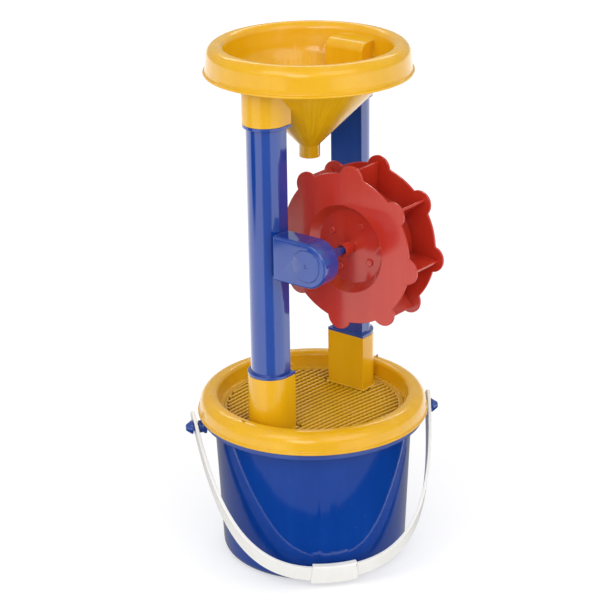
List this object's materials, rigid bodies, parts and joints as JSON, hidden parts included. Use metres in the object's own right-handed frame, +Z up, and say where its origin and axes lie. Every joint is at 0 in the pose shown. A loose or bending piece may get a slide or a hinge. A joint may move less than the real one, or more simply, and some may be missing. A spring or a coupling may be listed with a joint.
{
  "type": "sand wheel toy",
  "caption": "Sand toy: pail with a sieve tray, two posts that carry a funnel hopper, and a paddle wheel that turns under the funnel's spout.",
  "frame": {"origin": "centre of the bucket's base, on the ground", "axes": "+Z up; +X along the line through the two posts; -Y towards the wheel, which stands out in front of the posts"},
  "size_m": [0.1868, 0.2049, 0.4176],
  "materials": {
    "blue_plastic": "glossy moulded",
    "yellow_plastic": "glossy moulded",
    "red_plastic": "glossy moulded",
    "white_plastic": "satin moulded"
  },
  "bodies": {
    "bucket": {"bucket": "blue_plastic"},
    "handle": {"handle_strap": "white_plastic", "handle_grip": "white_plastic"},
    "tray": {"sieve_tray": "yellow_plastic", "sieve_grid": "yellow_plastic"},
    "tower": {"front_post": "blue_plastic", "rear_post": "blue_plastic", "front_bracket": "blue_plastic", "rear_bracket": "blue_plastic"},
    "wheel": {"wheel_front_cheek": "red_plastic", "wheel_rear_cheek": "red_plastic", "wheel_paddles": "red_plastic", "wheel_pegs": "red_plastic"},
    "hopper": {"hopper": "yellow_plastic"}
  },
  "joints": [
    {"name": "handle_swing", "type": "hinge", "parent": "bucket", "child": "handle", "pos_m": [0, 0, 0.1108], "axis": [-0.7547, 0.6561, 0], "range_deg": [0, 80]},
    {"name": "tray_lift", "type": "slide", "parent": "bucket", "child": "tray", "axis": [0, 0, 1], "range_m": [0, 0.02]},
    {"name": "tower_lift", "type": "slide", "parent": "tray", "child": "tower", "axis": [0, 0, 1], "range_m": [0, 0.05]},
    {"name": "hopper_lift", "type": "slide", "parent": "tower", "child": "hopper", "axis": [0, 0, 1], "range_m": [0, 0.04]},
    {"name": "wheel_spin", "type": "hinge", "parent": "tower", "child": "wheel", "pos_m": [0, -0.0466, 0.2682], "axis": [1, 0, 0], "continuous": true}
  ]
}
